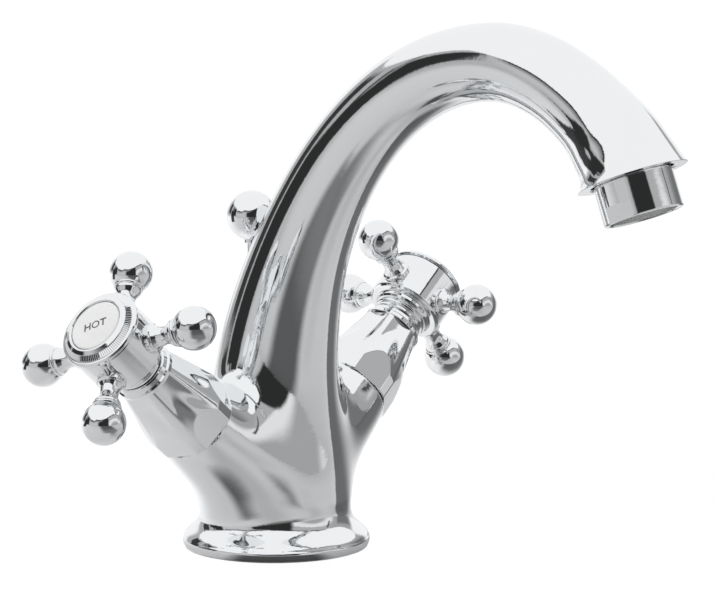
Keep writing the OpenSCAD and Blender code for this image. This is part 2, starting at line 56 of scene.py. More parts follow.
MM = 0.001
JOINTS = {joint["name"]: joint for joint in frame["joints"]}
HOT, COLD = -1, 1
VALVE_BODY = {HOT: "hot_handle_set", COLD: "cold_handle_set"}
FIXED_BODY = {HOT: "fixed_body", COLD: "fixed_body"}
SIDE_NAME = {HOT: "hot", COLD: "cold"}


def valve_matrix(side):
    """From a valve's own millimetres, z outwards along its axis, to the tap's metres."""
    joint = JOINTS[SIDE_NAME[side] + "_turn"]
    z = Vector(joint["axis"]).normalized()
    y = Vector((0, 1, 0))
    x = y.cross(z)
    turn = Matrix((x, y, z)).transposed().to_4x4()
    return Matrix.Translation(Vector(joint["pos_m"])) @ turn @ Matrix.Scale(MM, 4)


# ---------------------------------------------------------------- properties

def length(name, description, default):
    return FloatProperty(name=name, description=description, default=default * MM, unit="LENGTH",
                         subtype="DISTANCE", precision=5, min=0)


def angle(name, description, degrees):
    return FloatProperty(name=name, description=description, default=math.radians(degrees),
                         unit="ROTATION", subtype="ANGLE")


def colour(name, description, default):
    return FloatVectorProperty(name=name, description=description, default=default, size=3,
                               subtype="COLOR", min=0, max=1)


class TapSizes(bpy.types.PropertyGroup):
    foot_radius: length("Foot radius", "Largest radius of the foot's bulging rim", 27.6)
    rim_bulge: length("Rim bulge", "Radius of the rim's bulge, seen in section", 3.5)
    waist_radius: length("Waist radius", "Radius just above the foot, before the arms blend in", 21.0)
    waist_height: length("Waist height", "Height where the foot's hollow sweep ends", 12.3)
    arm_radius: length("Arm radius", "Radius of each valve arm at its end", 12.35)
    arm_growth: length("Arm growth", "How much thicker the arm is where it leaves the column", 1.75)
    blend: length("Blend", "Reach of the soft joint between column and arms", 18.0)
    outlet_radius: length("Outlet radius", "Radius of the bell-shaped rim of the spout", 15.2)
    outlet_tilt: angle("Outlet tilt", "Forward tilt of the outlet from vertical", 20.5)
    ball_radius: length("Ball radius", "Radius of the balls on the cross handles", 6.2)
    ball_circle: length("Ball circle", "Distance of the balls' centres from the valve's axis", 25.3)
    knob_radius: length("Knob radius", "Radius of the ball on the lift rod", 7.4)
    hot_turn: angle("Hot cross turn", "Turn of the hot cross at rest", 20.2)
    cold_turn: angle("Cold cross turn", "Turn of the cold cross at rest", 88.8)
    hot_bonnet_turn: angle("Hot bonnet turn", "Turn of the hot bonnet on its thread", 12.7)
    cold_bonnet_turn: angle("Cold bonnet turn", "Turn of the cold bonnet on its thread", 58.7)
    knurl_teeth: IntProperty(name="Knurl teeth", description="Teeth round each cap's knurled band",
                             default=108, min=24, max=200)


class TapFinishes(bpy.types.PropertyGroup):
    chrome: colour("Chrome", "Colour of the polished plating", (0.86, 0.87, 0.88))
    chrome_dull: FloatProperty(name="Chrome dullness", description="Roughness of the plating",
                               default=0.045, min=0, max=1, subtype="FACTOR")
    brass: colour("Brass", "Colour of bare turned brass", (0.72, 0.56, 0.30))
    rubber: colour("Rubber", "Colour of gaskets and seals", (0.028, 0.028, 0.030))
    porcelain: colour("Porcelain", "Colour of the index discs", (0.93, 0.93, 0.92))
    ceramic: colour("Ceramic", "Colour of the valve discs", (0.88, 0.87, 0.84))
    plastic: colour("Plastic", "Colour of the outlet insert and the rod's bush", (0.80, 0.80, 0.78))
    zinc: colour("Zinc", "Colour of the plated steel fixings", (0.66, 0.67, 0.68))
    mark: colour("Mark", "Colour of the letters on the index discs", (0.03, 0.03, 0.035))


class TapStage(bpy.types.PropertyGroup):
    floor: colour("Floor", "Colour of the floor", (0.90, 0.90, 0.90))
    rear_power: FloatProperty(name="Rear panel", description="Brightness of the panel behind the tap",
                              default=10.5, min=0)
    camera_lens: FloatProperty(name="Lens", description="Focal length in millimetres on a 36 mm sensor",
                               default=158.8, min=1)


def sizes():
    return bpy.context.scene.tap_sizes


def finishes():
    return bpy.context.scene.tap_finishes


# ---------------------------------------------------------------- modelling by hand

def clear():
    """Leaves edit mode and deselects everything."""
    if bpy.context.object and bpy.context.object.mode != "OBJECT":
        bpy.ops.object.mode_set(mode="OBJECT")
    bpy.ops.object.select_all(action="DESELECT")


def only(obj):
    """Makes one object the selected and active one."""
    clear()
    obj.select_set(True)
    bpy.context.view_layer.objects.active = obj


def edit(obj, mode="FACE"):
    only(obj)
    bpy.ops.object.mode_set(mode="EDIT")
    bpy.ops.mesh.select_mode(type=mode)
    bpy.ops.mesh.select_all(action="DESELECT")


def done():
    bpy.ops.object.mode_set(mode="OBJECT")
    return bpy.context.object


def face_outwards():
    """Turns all faces of the mesh in edit mode to the outside."""
    bpy.ops.mesh.select_all(action="SELECT")
    bpy.ops.mesh.normals_make_consistent(inside=False)
    return done()


def apply_modifier(obj, kind, **settings):
    only(obj)
    modifier = obj.modifiers.new(kind.title(), kind)
    for key, value in settings.items():
        setattr(modifier, key, value)
    bpy.ops.object.modifier_apply(modifier=modifier.name)
    return obj


def rounded(corners, step=15):
    """Outline whose corners (radius, height, rounding) are turned into arcs."""
    outline = []
    for i, corner in enumerate(corners):
        p = Vector(corner[:2])
        r = corner[2] if len(corner) > 2 else 0
        if r and 0 < i < len(corners) - 1:
            a = Vector(corners[i - 1][:2]) - p
            b = Vector(corners[i + 1][:2]) - p
            bend = math.pi - a.angle(b)
            cut = min(r * math.tan(bend / 2), 0.49 * a.length, 0.49 * b.length)
            r = cut / math.tan(bend / 2)
            start, end = p + a.normalized() * cut, p + b.normalized() * cut
            mid = p + (a.normalized() + b.normalized()).normalized() * r / math.cos(bend / 2)
            n = max(1, round(math.degrees(bend) / step))
            u, v = start - mid, end - mid
            turn = math.atan2(u.x * v.y - u.y * v.x, u.dot(v))
            for k in range(n + 1):
                t = turn * k / n
                outline.append((mid.x + u.x * math.cos(t) - u.y * math.sin(t),
                                mid.y + u.x * math.sin(t) + u.y * math.cos(t)))
        else:
            outline.append((p.x, p.y))
    return outline


def turned(name, outline, sides=128):
    """Turned piece: the outline (radius, height) is drawn point by point and spun round Z."""
    clear()
    bpy.ops.mesh.primitive_plane_add(size=1)
    obj = bpy.context.object
    obj.name = obj.data.name = name
    bpy.ops.object.mode_set(mode="EDIT")
    bpy.ops.mesh.select_mode(type="VERT")
    bpy.ops.mesh.merge(type="COLLAPSE")
    bpy.ops.transform.translate(value=(outline[0][0], 0, outline[0][1]))
    for a, b in zip(outline, outline[1:]):
        bpy.ops.mesh.extrude_region_move(TRANSFORM_OT_translate={"value": (b[0] - a[0], 0, b[1] - a[1])})
    bpy.ops.mesh.select_all(action="SELECT")
    bpy.ops.mesh.spin(steps=sides, angle=2 * math.pi, center=(0, 0, 0), axis=(0, 0, 1))
    bpy.ops.mesh.select_all(action="SELECT")
    bpy.ops.mesh.remove_doubles(threshold=0.0005)
    return face_outwards()


def ball_outline(radius, neck, centre, steps):
    """Half circle (radius, height) from where the ball leaves its neck to its far end."""
    start = math.asin(neck / radius)
    turns = [start + (math.pi - start) * k / steps for k in range(steps + 1)]
    return [(radius * math.sin(t), centre - radius * math.cos(t)) for t in turns]


def moved(obj, matrix):
    """Puts a matrix into the mesh itself, so that the object stays at the origin."""
    only(obj)
    obj.matrix_world = matrix
    bpy.ops.object.transform_apply(location=True, rotation=True, scale=True)
    return obj


def twin(obj, name):
    """Copy with a mesh of its own."""
    copy = obj.copy()
    copy.data = obj.data.copy()
    copy.name = copy.data.name = name
    bpy.context.scene.collection.objects.link(copy)
    return copy


def joined(objs):
    clear()
    for obj in objs:
        obj.select_set(True)
    bpy.context.view_layer.objects.active = objs[0]
    bpy.ops.object.join()
    return objs[0]


def points(mesh):
    """The places of a mesh's vertices, one row each."""
    p = np.empty(len(mesh.vertices) * 3)
    mesh.vertices.foreach_get("co", p)
    return p.reshape(-1, 3)


def put_points(mesh, p):
    mesh.vertices.foreach_set("co", p.ravel())
    mesh.update()


def carve(obj, cutter, operation="DIFFERENCE"):
    """Exact boolean with a cutter that is then removed."""
    apply_modifier(obj, "BOOLEAN", operation=operation, object=cutter, solver="EXACT")
    bpy.data.objects.remove(cutter)


def smooth(obj, degrees):
    """Smooth shading that keeps its sharp edges, with large faces kept flat."""
    only(obj)
    bpy.ops.object.shade_smooth_by_angle(angle=math.radians(degrees))
    return apply_modifier(obj, "WEIGHTED_NORMAL", keep_sharp=True, weight=60)


def finish_piece(obj, material, body, slot, *nodes):
    """Gives a piece its material and ties it to the frame."""
    obj.data.materials.clear()
    obj.data.materials.append(material)
    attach(obj, body)
    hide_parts(*nodes)


def fit_pair(model, kind, material, bodies, turns):
    """Sets a copy of the model on each valve, turned on its axis, and ties it to the frame."""
    for side in (HOT, COLD):
        name = SIDE_NAME[side] + "_" + kind
        piece = moved(twin(model, name + "_skin"),
                      valve_matrix(side) @ Matrix.Rotation(turns[side], 4, "Z"))
        finish_piece(piece, material, bodies[side], "chrome", name)
    bpy.data.objects.remove(model)


def cross_turns():
    return {HOT: sizes().hot_turn, COLD: sizes().cold_turn}


# ---------------------------------------------------------------- shader maths

class Value:
    """A shader socket that can be used in sums."""

    def __init__(self, graph, socket):
        self.graph, self.socket = graph, socket

    def _math(self, operation, *others):
        return self.graph.math(operation, self, *others)

    def __add__(self, other): return self._math("ADD", other)
    def __radd__(self, other): return self._math("ADD", other)
    def __sub__(self, other): return self._math("SUBTRACT", other)
    def __rsub__(self, other): return self.graph.math("SUBTRACT", other, self)
    def __mul__(self, other): return self._math("MULTIPLY", other)
    def __rmul__(self, other): return self._math("MULTIPLY", other)
    def __truediv__(self, other): return self._math("DIVIDE", other)
    def __pow__(self, other): return self._math("POWER", other)


class Graph:
    """The node tree of one material or of the world."""

    def __init__(self, owner):
        owner.use_nodes = True
        self.tree = owner.node_tree
        self.tree.nodes.clear()

    def node(self, kind, settings=(), inputs=(), out=0):
        """Adds a node, sets its settings first and then its sockets, and returns one output."""
        node = self.tree.nodes.new(kind)
        for key, value in dict(settings).items():
            setattr(node, key, value)
        for key, value in dict(inputs).items():
            if isinstance(value, Value):
                self.tree.links.new(value.socket, node.inputs[key])
            else:
                node.inputs[key].default_value = value
        return Value(self, node.outputs[out]) if node.outputs else None

    def math(self, operation, *operands):
        return self.node("ShaderNodeMath", {"operation": operation}, dict(enumerate(operands)))

    def edge(self, value, start, end):
        """Smooth step from 0 at the start to 1 at the end."""
        return self.node("ShaderNodeMapRange", {"interpolation_type": "SMOOTHSTEP"},
                         {"Value": value, "From Min": start, "From Max": end})

    def band(self, value, start, full, fading, end):
        """Smooth step up from start to full, and down again from fading to end."""
        return self.edge(value, start, full) * self.edge(value, end, fading)

    def noise(self, where, scale, detail=2.0, roughness=0.5, squash=None):
        """Noise in space, drawn out along an axis where the squash is small."""
        if squash:
            where = self.node("ShaderNodeMapping", {}, {"Vector": where, "Scale": squash})
        return self.node("ShaderNodeTexNoise", {}, {"Vector": where, "Scale": scale, "Detail": detail,
                                                    "Roughness": roughness})

    def axes(self, where, count):
        return [self.node("ShaderNodeSeparateXYZ", {}, {0: where}, out=k) for k in range(count)]

    def bearing(self, x, y):
        """Degrees round the tap: 0 towards the basin, 90 to the right, -90 to the left."""
        return self.math("ARCTAN2", x, y * -1) * math.degrees(1)

    def bump(self, height, strength, distance):
        return self.node("ShaderNodeBump", {}, {"Strength": strength, "Distance": distance, "Height": height})

    def principled(self, tone, rough, bump, **more):
        """Ends the graph in a principled shader. Sockets of two words are written with an underscore."""
        inputs = {"Base Color": tone, "Roughness": rough, "Normal": bump}
        inputs.update({key.replace("_", " "): value for key, value in more.items()})
        self.output(self.node("ShaderNodeBsdfPrincipled", {}, inputs))

    def mix(self, factor, a, b):
        """Mixes two colours."""
        return self.node("ShaderNodeMix", {"data_type": "RGBA"}, {0: factor, 6: a, 7: b}, out=2)

    def output(self, shader, kind="ShaderNodeOutputMaterial"):
        self.node(kind, {}, {0: shader})


def rgba(value, factor=1.0):
    return (*(min(1.0, max(0.0, c * factor)) for c in value), 1)


def new_material(name):
    material = bpy.data.materials.new(name)
    return material, Graph(material)


def polished_chrome(name="polished_chrome", dull=1.0):
    """Nickel-chrome plating over buffed brass: faint cloudiness, buffing marks and a soft waviness."""
    material, g = new_material(name)
    f = finishes()
    where = g.node("ShaderNodeTexCoord", out=3)
    cloud = g.noise(where, 55.0, 3.0, 0.55)
    haze = g.noise(where, 420.0, 4.0, 0.6)
    buff = g.noise(where, 1600.0, squash=(1.0, 1.0, 0.12))
    g.principled(g.mix(cloud, rgba(f.chrome, 0.985), rgba(f.chrome, 1.012)),
                 f.chrome_dull * dull * (0.7 + 0.45 * haze + 0.25 * buff),
                 g.bump(haze, 0.05, 0.0003), Metallic=1.0)
    return material


def turned_metal(name, base, roughness):
    """Turned or rolled metal with fine tool marks and slight staining."""
    material, g = new_material(name)
    where = g.node("ShaderNodeTexCoord", out=3)
    stain = g.noise(where, 140.0, 4.0, 0.6)
    marks = g.noise(where, 900.0, squash=(0.2, 0.2, 1.0))
    g.principled(g.mix(stain, rgba(base, 0.82), rgba(base, 1.06)),
                 roughness * (0.7 + 0.4 * marks + 0.3 * stain), g.bump(marks, 0.25, 0.00006), Metallic=1.0)
    return material


def moulded(name, base, roughness, grain=700.0, grain_depth=0.00005, coat=0.0):
    """Rubber, plastic or ceramic: slight mottling and a fine moulded grain."""
    material, g = new_material(name)
    where = g.node("ShaderNodeTexCoord", out=3)
    mottle = g.noise(where, 180.0, 3.0, 0.6)
    fine = g.noise(where, grain, 3.0, 0.65)
    glaze = {"Coat_Weight": coat, "Coat_Roughness": 0.05} if coat else {}
    g.principled(g.mix(mottle, rgba(base, 0.9), rgba(base, 1.06)), roughness * (0.8 + 0.4 * fine),
                 g.bump(fine, 0.3, grain_depth), **glaze)
    return material


# ---------------------------------------------------------------- the cast body

def ease(x):
    """Smooth step from 0 to 1."""
    x = np.clip(x, 0, 1)
    return x * x * (3 - 2 * x)


def bezier(a, b, c, d, t):
    t = t[:, None]
    return (1 - t) ** 3 * a + 3 * (1 - t) ** 2 * t * b + 3 * (1 - t) * t * t * c + t ** 3 * d


def softened(values, steps, sigma):
    """Gaussian smoothing along a line whose ends carry on straight."""
    reach = int(4 * sigma / steps)
    if reach < 1:
        return values
    kernel = np.exp(-0.5 * (np.arange(-reach, reach + 1) * steps / sigma) ** 2)
    kernel /= kernel.sum()
    head = 2 * values[0] - values[reach:0:-1]
    tail = 2 * values[-1] - values[-2:-reach - 2:-1]
    return np.convolve(np.r_[head, values, tail], kernel, mode="valid")


class Casting:
    """The body as one smooth surface: below 0 is metal. All lengths in millimetres."""

    STEP = 0.25
    APEX = (-81.0, 145.4)
    OUTLET = (-126.0, 116.0)
    COLUMN_TOP = 48.4
    COLUMN_POINTS, CURVE_POINTS = 200, 900
    PAST_RIM = 14.0
    ARM_END, ARM_EDGE, ARM_ROOT = 44.6, 0.9, 6.0
    GROWTH_END, GROWTH_REACH = 44.7, 12
    CROTCH = 9.0
    # heights between which the upright column gives way to the neck
    NECK_FROM, NECK_FULL = 26, 44
    # radius at some heights of the column, then by eighths up to the apex and down to the rim
    COLUMN_R = {14: 20.79, 20: 20.48, 30: 19.69, 40: 19.07}
    RISE_R = (18.54, 16.82, 14.82, 13.28, 12.25, 11.58, 11.3, 11.03)
    DROP_R = (10.9, 10.93, 11.0, 11.08, 11.35, 11.84, 12.8, 13.7)

    def __init__(self, size):
        self.size = {key: getattr(size, key) / MM for key in
                     ("foot_radius", "rim_bulge", "waist_radius", "waist_height", "arm_radius",
                      "arm_growth", "blend", "outlet_radius")}
        self.tilt = size.outlet_tilt
        self.draw_path()
        self.arms = []
        for side in (HOT, COLD):
            matrix = valve_matrix(side)
            self.arms.append((np.array(matrix.translation) / MM,
                              np.array(matrix.to_3x3() @ Vector((0, 0, 1))) / MM))

    def draw_path(self):
        """Centre line from the ledge up the column, over the swan neck and out of the rim."""
        top, apex, out = np.array((0.0, self.COLUMN_TOP)), np.array(self.APEX), np.array(self.OUTLET)
        lean = math.radians(5)
        way_out = np.array((-math.sin(self.tilt), -math.cos(self.tilt)))
        t = np.linspace(0, 1, self.CURVE_POINTS)
        rise = bezier(top, top + 45 * np.array((-math.sin(lean), math.cos(lean))), apex + (46.5, 0), apex, t)
        drop = bezier(apex, apex - (20, 0), out - 12 * way_out, out, t)
        column = np.c_[np.zeros(self.COLUMN_POINTS), np.linspace(0, self.COLUMN_TOP, self.COLUMN_POINTS)]
        past = np.linspace(0, self.PAST_RIM, 60)[:, None] * way_out
        line = np.vstack([column[:-1], rise[:-1], drop[:-1], out + past])
        along = np.r_[0, np.cumsum(np.linalg.norm(np.diff(line, axis=0), axis=1))]
        foot_of_rise = self.COLUMN_POINTS - 1
        apex_i = foot_of_rise + self.CURVE_POINTS - 1
        out_i = apex_i + self.CURVE_POINTS - 1
        at_column, at_apex, at_out = (along[i] for i in (foot_of_rise, apex_i, out_i))
        s = np.arange(0, along[-1], self.STEP)
        y, z = np.interp(s, along, line[:, 0]), np.interp(s, along, line[:, 1])
        heading = np.unwrap(np.arctan2(np.gradient(z, s), np.gradient(y, s)))
        keep = ease((at_out - 6 - s) / 30)
        heading = heading * (1 - keep) + softened(heading, self.STEP, 4.5) * keep
        y2 = np.r_[0, np.cumsum(np.cos((heading[1:] + heading[:-1]) / 2) * self.STEP)]
        z2 = np.r_[0, np.cumsum(np.sin((heading[1:] + heading[:-1]) / 2) * self.STEP)]
        share = np.clip((s - 20) / (at_out - 20), 0, 1)
        i = int(at_out / self.STEP)
        y2 += share * (out[0] - y2[i])
        z2 += share * (out[1] - z2[i])
        self.s, self.path = s, np.c_[y2, z2]
        self.end_s = at_out
        eighths = np.linspace(0, 1, 9)
        rise_s = np.interp(eighths, t, along[foot_of_rise:apex_i + 1])
        drop_s = np.interp(eighths, t, along[apex_i:out_i + 1])
        smooth_r = self.spline(np.r_[list(self.COLUMN_R), rise_s[:-1], drop_s],
                               np.r_[list(self.COLUMN_R.values()), self.RISE_R, self.DROP_R,
                                     self.size["outlet_radius"]], s)
        # a slight waist before the rim, then the lip that turns out
        waist_share, lip = ease((s - at_out + 13) / 10), np.clip((s - at_out + 2.2) / 2.2, 0, 1)
        smooth_r = smooth_r - 0.26 * waist_share + 0.7 * lip ** 2
        bulge, foot, waist, height = (self.size[k] for k in ("rim_bulge", "foot_radius", "waist_radius",
                                                              "waist_height"))
        rim_mid, rim_z = foot - bulge, 2.1
        # the hollow sweep over the rim: an arc that ends upright at the waist and touches the bulge
        sweep = (waist - rim_mid) ** 2 + (height - rim_z) ** 2 - bulge ** 2
        sweep /= 2 * (bulge - waist + rim_mid)
        meet = rim_z + (height - rim_z) * bulge / (bulge + sweep)
        low = np.where(s < meet, rim_mid + np.sqrt(np.maximum(bulge ** 2 - (s - rim_z) ** 2, 0.3)),
                       waist + sweep - np.sqrt(np.maximum(sweep ** 2 - (s - height) ** 2, 0)))
        share = ease((s - height) / 6)
        self.radius = np.where(s < height, low, waist * (1 - share) + share * smooth_r)
        self.radius = np.where(s > height + 6, smooth_r, self.radius)
        soft = softened(self.radius, self.STEP, 0.8)
        self.radius = np.where(s < 3, self.radius, soft)
        self.slope = np.gradient(self.radius, s)
        self.tangent = np.gradient(self.path, s, axis=0)
        self.tangent /= np.linalg.norm(self.tangent, axis=1)[:, None]
        self.curve = np.gradient(np.unwrap(np.arctan2(self.tangent[:, 1], self.tangent[:, 0])), s)
        self.flat = 0.09 * np.sin(np.pi * np.clip((s - at_column) / (at_apex - at_column), 0, 1))

    @staticmethod
    def spline(x, y, at):
        """Natural cubic spline through points."""
        n = len(x)
        h = np.diff(x)
        a = np.zeros((n, n))
        b = np.zeros(n)
        a[0, 0] = a[-1, -1] = 1
        for i in range(1, n - 1):
            a[i, i - 1:i + 2] = h[i - 1], 2 * (h[i - 1] + h[i]), h[i]
            b[i] = 6 * ((y[i + 1] - y[i]) / h[i] - (y[i] - y[i - 1]) / h[i - 1])
        m = np.linalg.solve(a, b)
        i = np.clip(np.searchsorted(x, at) - 1, 0, n - 2)
        u, v = at - x[i], x[i + 1] - at
        value = (m[i] * v ** 3 + m[i + 1] * u ** 3) / (6 * h[i]) \
            + (y[i] / h[i] - m[i] * h[i] / 6) * v + (y[i + 1] / h[i] - m[i + 1] * h[i] / 6) * u
        first = (y[1] - y[0]) / h[0]
        last = (y[-1] - y[-2]) / h[-1] + h[-1] * m[-2] / 6
        value = np.where(at < x[0], y[0] + (at - x[0]) * first, value)
        return np.where(at > x[-1], y[-1] + (at - x[-1]) * last, value)

    def nearest(self, p):
        """Index of the nearest station of the centre line, for each point."""
        found = np.zeros(len(p), int)
        coarse = np.arange(0, len(self.s), 8)
        line = self.path[coarse]
        for i in range(0, len(p), 20000):
            q = p[i:i + 20000, 1:]
            d = (q[:, 0:1] - line[None, :, 0]) ** 2 + (q[:, 1:2] - line[None, :, 1]) ** 2
            found[i:i + 20000] = coarse[np.argmin(d, axis=1)]
        for _ in range(3):
            d = ((p[:, 1:] - self.path[found]) * self.tangent[found]).sum(1) / self.STEP
            found = np.clip(found + np.round(d).astype(int), 0, len(self.s) - 1)
        return found

    def value(self, p, near):
        """Distance of points from the surface, near enough. Near holds their nearest stations."""
        x, y, z = p.T
        rho = np.hypot(x, y)
        zc = np.clip(z, 0, self.COLUMN_TOP)
        slope = np.interp(zc, self.s, self.slope)
        column = (rho - np.interp(zc, self.s, self.radius)) / np.sqrt(1 + slope ** 2)
        # swan neck: distance from the centre line less the radius there
        offset = p[:, 1:] - self.path[near]
        tangent = self.tangent[near]
        ahead = (offset * tangent).sum(1)
        beside = tangent[:, 0] * offset[:, 1] - tangent[:, 1] * offset[:, 0]
        ahead = ahead / np.maximum(1 - self.curve[near] * beside, 0.3)
        s = self.s[near] + ahead
        cy, cz = np.interp(s, self.s, self.path[:, 0]), np.interp(s, self.s, self.path[:, 1])
        past = np.maximum(s - self.s[-1], 0)
        dy, dz = y - cy - past * self.tangent[-1, 0], z - cz - past * self.tangent[-1, 1]
        far = np.sqrt(x * x + dy * dy + dz * dz) + 1e-9
        back = (tangent[:, 1] * dy - tangent[:, 0] * dz) / far
        radius = np.interp(s, self.s, self.radius) * (1 - np.interp(s, self.s, self.flat)
                                                      * np.maximum(back, 0) ** 10)
        neck = (far - radius) / np.sqrt(1 + np.interp(s, self.s, self.slope) ** 2)
        share = np.clip((z - self.NECK_FROM) / (self.NECK_FULL - self.NECK_FROM), 0, 1)
        share = share ** 3 * (share * (6 * share - 15) + 10)
        main = column * (1 - share) + neck * share
        arms = []
        for origin, axis in self.arms:
            q = p - origin
            h = q @ axis
            r = np.linalg.norm(q - h[:, None] * axis, axis=1)
            inwards = np.clip(self.GROWTH_END - h, 0, 60) / self.GROWTH_REACH
            thick = self.size["arm_radius"] + self.size["arm_growth"] * (1 - np.exp(-inwards))
            side = self.soft_max((r - thick) * 0.99, -h, self.ARM_ROOT)
            arms.append(self.soft_max(side, h - self.ARM_END, self.ARM_EDGE))
        return self.soft_min(main, self.soft_min(*arms, self.CROTCH), self.size["blend"])

    @staticmethod
    def soft_min(a, b, k):
        """The smaller of two, with a rounded change-over where they differ by less than k."""
        h = np.maximum(k - np.abs(a - b), 0) / k
        return np.minimum(a, b) - h ** 3 * k / 6

    @classmethod
    def soft_max(cls, a, b, k):
        return -cls.soft_min(-a, -b, k)

    def gradient(self, p, near, e=0.02):
        g = np.empty_like(p)
        for axis in range(3):
            d = np.zeros(3)
            d[axis] = e
            g[:, axis] = (self.value(p + d, near) - self.value(p - d, near)) / (2 * e)
        return g

    def settle(self, p, rounds):
        """Moves points along the slope until they lie on the surface."""
        for _ in range(rounds):
            near = self.nearest(p)
            g = self.gradient(p, near)
            f = self.value(p, near)
            p = p - np.clip(f / np.maximum((g * g).sum(1), 0.2), -1.5, 1.5)[:, None] * g
        return p


def swept(name, casting, stations, sides, closed=True):
    """Swan neck: a circle that is extruded, turned and scaled from station to station of the centre line."""
    clear()
    y, z, r = (np.interp(stations, casting.s, line) for line in
               (casting.path[:, 0], casting.path[:, 1], casting.radius))
    ty, tz = (np.interp(stations, casting.s, casting.tangent[:, k]) for k in (0, 1))
    heading = np.unwrap(np.arctan2(tz, ty))
    bpy.ops.mesh.primitive_circle_add(vertices=sides, radius=float(r[0]),
                                      location=(0, float(y[0]), float(z[0])))
    obj = bpy.context.object
    obj.name = obj.data.name = name
    bpy.ops.object.transform_apply(location=True)
    bpy.ops.object.mode_set(mode="EDIT")
    bpy.ops.mesh.select_mode(type="EDGE")
    bpy.ops.mesh.select_all(action="SELECT")
    turn_ring(heading[0] - math.pi / 2, (0, float(y[0]), float(z[0])))
    for i in range(1, len(stations)):
        middle = (0, float(y[i]), float(z[i]))
        bpy.ops.mesh.extrude_region_move(TRANSFORM_OT_translate={
            "value": (0, float(y[i] - y[i - 1]), float(z[i] - z[i - 1]))})
        turn_ring(heading[i] - heading[i - 1], middle)
        scale_ring(r[i] / r[i - 1], middle)
    if closed:
        bpy.ops.mesh.select_all(action="DESELECT")
        bpy.ops.mesh.select_non_manifold()
        bpy.ops.mesh.edge_face_add()
    return face_outwards()


def turn_ring(by, middle):
    """Turns what is selected about the X direction. With no window the operator turns the other way."""
    bpy.ops.transform.rotate(value=-float(by), orient_axis="X", center_override=middle)


def scale_ring(factor, middle):
    bpy.ops.transform.resize(value=(float(factor),) * 3, center_override=middle)


def select_end(obj, test):
    """Selects, in edit mode, the open edges whose two ends pass a test of their place."""
    mesh = bmesh.from_edit_mesh(obj.data)
    for edge in mesh.edges:
        edge.select_set(edge.is_boundary and all(test(vert.co) for vert in edge.verts))
    bmesh.update_edit_mesh(obj.data)


